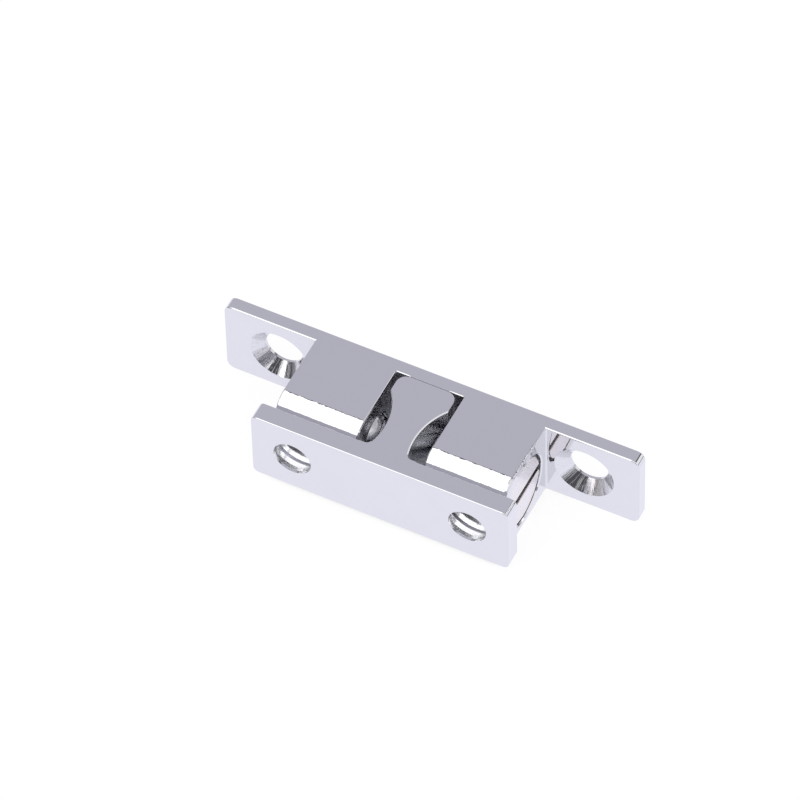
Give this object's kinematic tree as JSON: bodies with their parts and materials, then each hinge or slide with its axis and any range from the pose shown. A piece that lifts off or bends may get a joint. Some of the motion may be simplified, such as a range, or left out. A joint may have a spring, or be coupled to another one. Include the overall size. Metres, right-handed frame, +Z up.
{
  "type": "double ball catch",
  "caption": "Chromed door catch: a countersunk body plate with slotted lobes holds sprung balls that grip the waisted tongue of a separate strike.",
  "frame": {"origin": "under the middle of the part, on the surface it stands on", "axes": "+X along the plates, +Y out of the body's mounting face, +Z up across the plates"},
  "size_m": [0.05, 0.0138, 0.0105],
  "materials": {
    "body_chrome": "polished chrome plating",
    "strike_chrome": "polished chrome plating",
    "ball_steel": "ground and polished steel",
    "spring_steel": "drawn spring wire",
    "screw_nickel": "turned and nickel plated, slightly warm"
  },
  "bodies": {
    "catch_body": {"body": "body_chrome", "spring_left": "spring_steel", "spring_right": "spring_steel"},
    "strike": {"strike": "strike_chrome"},
    "ball_left": {"ball_left": "ball_steel"},
    "ball_right": {"ball_right": "ball_steel"},
    "adjusting_screw_left": {"adjusting_screw_left": "screw_nickel"},
    "adjusting_screw_right": {"adjusting_screw_right": "screw_nickel"}
  },
  "joints": [
    {"name": "strike_pull", "type": "slide", "parent": "catch_body", "child": "strike", "axis": [0, -1, 0], "range_m": [0, 0.0026]},
    {"name": "ball_left_slide", "type": "slide", "parent": "catch_body", "child": "ball_left", "axis": [-1, 0, 0], "range_m": [0, 0.00155], "stiffness_N_per_m": 2000, "springref_m": -0.001, "deforming": ["spring_left"]},
    {"name": "ball_right_slide", "type": "slide", "parent": "catch_body", "child": "ball_right", "axis": [1, 0, 0], "range_m": [0, 0.00155], "stiffness_N_per_m": 2000, "springref_m": -0.001, "deforming": ["spring_right"]},
    {"name": "adjusting_screw_left_turn", "type": "hinge", "parent": "catch_body", "child": "adjusting_screw_left", "pos_m": [-0.0137, 0.00015, 0.00525], "axis": [-1, 0, 0], "range_deg": [-180, 180]},
    {"name": "adjusting_screw_right_turn", "type": "hinge", "parent": "catch_body", "child": "adjusting_screw_right", "pos_m": [0.0137, 0.00015, 0.00525], "axis": [1, 0, 0], "range_deg": [-180, 180]}
  ],
  "couplings": [
    {"joint": "ball_left_slide", "follows": "strike_pull", "ratio": 0.58},
    {"joint": "ball_right_slide", "follows": "strike_pull", "ratio": 0.58}
  ]
}
